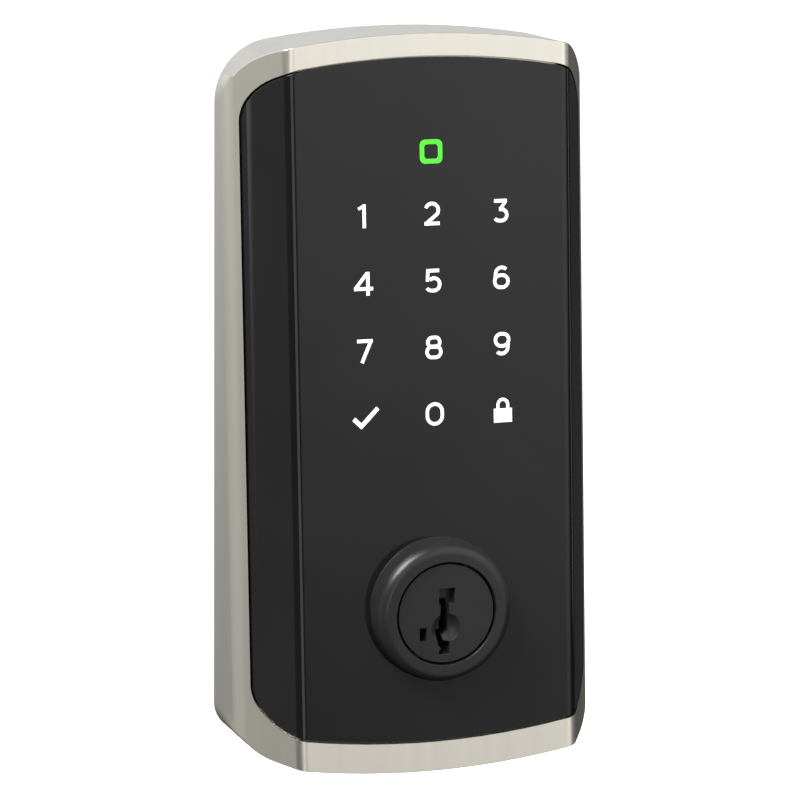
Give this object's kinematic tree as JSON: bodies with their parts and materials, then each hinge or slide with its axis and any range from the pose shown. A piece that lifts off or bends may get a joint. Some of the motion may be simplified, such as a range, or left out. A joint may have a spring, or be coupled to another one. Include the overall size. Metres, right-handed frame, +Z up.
{
  "type": "keypad smart lock exterior unit",
  "caption": "Exterior unit of a keypad deadbolt lock: tapered die-cast escutcheon, inlaid gloss touch panel with lit digits, and a key cylinder with a tailpiece.",
  "frame": {"origin": "where the key cylinder's axis meets the door face", "axes": "+X to the right of someone facing the lock, +Y into the door along the key cylinder's axis, +Z up"},
  "size_m": [0.0762, 0.0754, 0.1467],
  "materials": {
    "satin_nickel": "satin nickel plate on die-cast zinc",
    "black_lens": "gloss black",
    "white_window": "translucent white, lit from behind",
    "green_window": "translucent, lit green from behind",
    "satin_black": "satin black",
    "black_plastic": "fine texture",
    "ivory_plastic": "moulded",
    "circuit_board": "solder mask",
    "circuit_parts": "ceramic with tinned ends",
    "led": "clear resin",
    "rubber": "matt",
    "brass": "machined",
    "steel": "machined",
    "zinc_plated_steel": "zinc plated"
  },
  "bodies": {
    "lock_body": {"body_shell": "satin_nickel", "touch_panel": "black_lens", "panel_gasket": "rubber", "key_icons": "white_window", "status_light": "green_window", "light_baffle": "black_plastic", "touch_board": "circuit_board", "key_leds": "led", "status_led": "led", "touch_controller": "black_plastic", "board_parts": "circuit_parts", "buzzer": "black_plastic", "cable_socket": "ivory_plastic", "board_cover": "black_plastic", "board_screws": "steel", "trim_ring": "satin_black", "cylinder_housing": "brass", "housing_screws": "steel", "back_plate": "zinc_plated_steel", "door_hub": "zinc_plated_steel", "back_plate_screws": "steel", "mounting_posts": "steel", "cable_grommet": "rubber", "door_seal": "rubber"},
    "key_plug": {"plug": "satin_black", "spring_cover": "brass", "pin_springs": "steel", "sidebar": "steel", "sidebar_springs": "steel", "plug_clip": "steel", "tailpiece_ring": "steel"},
    "tailpiece": {"tailpiece": "steel"},
    "pin_1": {"key_pin_1": "brass"},
    "pin_2": {"key_pin_2": "brass"},
    "pin_3": {"key_pin_3": "brass"},
    "pin_4": {"key_pin_4": "brass"},
    "pin_5": {"key_pin_5": "brass"}
  },
  "joints": [
    {"name": "plug_turn", "type": "hinge", "parent": "lock_body", "child": "key_plug", "pos_m": [0, 0, 0], "axis": [0, 1, 0], "range_deg": [-90, 90]},
    {"name": "tailpiece_turn", "type": "hinge", "parent": "key_plug", "child": "tailpiece", "pos_m": [0, 0, 0], "axis": [0, 1, 0], "range_deg": [0, 90]},
    {"name": "key_pin_1_lift", "type": "slide", "parent": "key_plug", "child": "pin_1", "axis": [0, 0, 1], "range_m": [0, 0.0022], "stiffness_N_per_m": 120, "springref_m": -0.001},
    {"name": "key_pin_2_lift", "type": "slide", "parent": "key_plug", "child": "pin_2", "axis": [0, 0, 1], "range_m": [0, 0.0022], "stiffness_N_per_m": 120, "springref_m": -0.001},
    {"name": "key_pin_3_lift", "type": "slide", "parent": "key_plug", "child": "pin_3", "axis": [0, 0, 1], "range_m": [0, 0.0022], "stiffness_N_per_m": 120, "springref_m": -0.001},
    {"name": "key_pin_4_lift", "type": "slide", "parent": "key_plug", "child": "pin_4", "axis": [0, 0, 1], "range_m": [0, 0.0022], "stiffness_N_per_m": 120, "springref_m": -0.001},
    {"name": "key_pin_5_lift", "type": "slide", "parent": "key_plug", "child": "pin_5", "axis": [0, 0, 1], "range_m": [0, 0.0022], "stiffness_N_per_m": 120, "springref_m": -0.001}
  ]
}
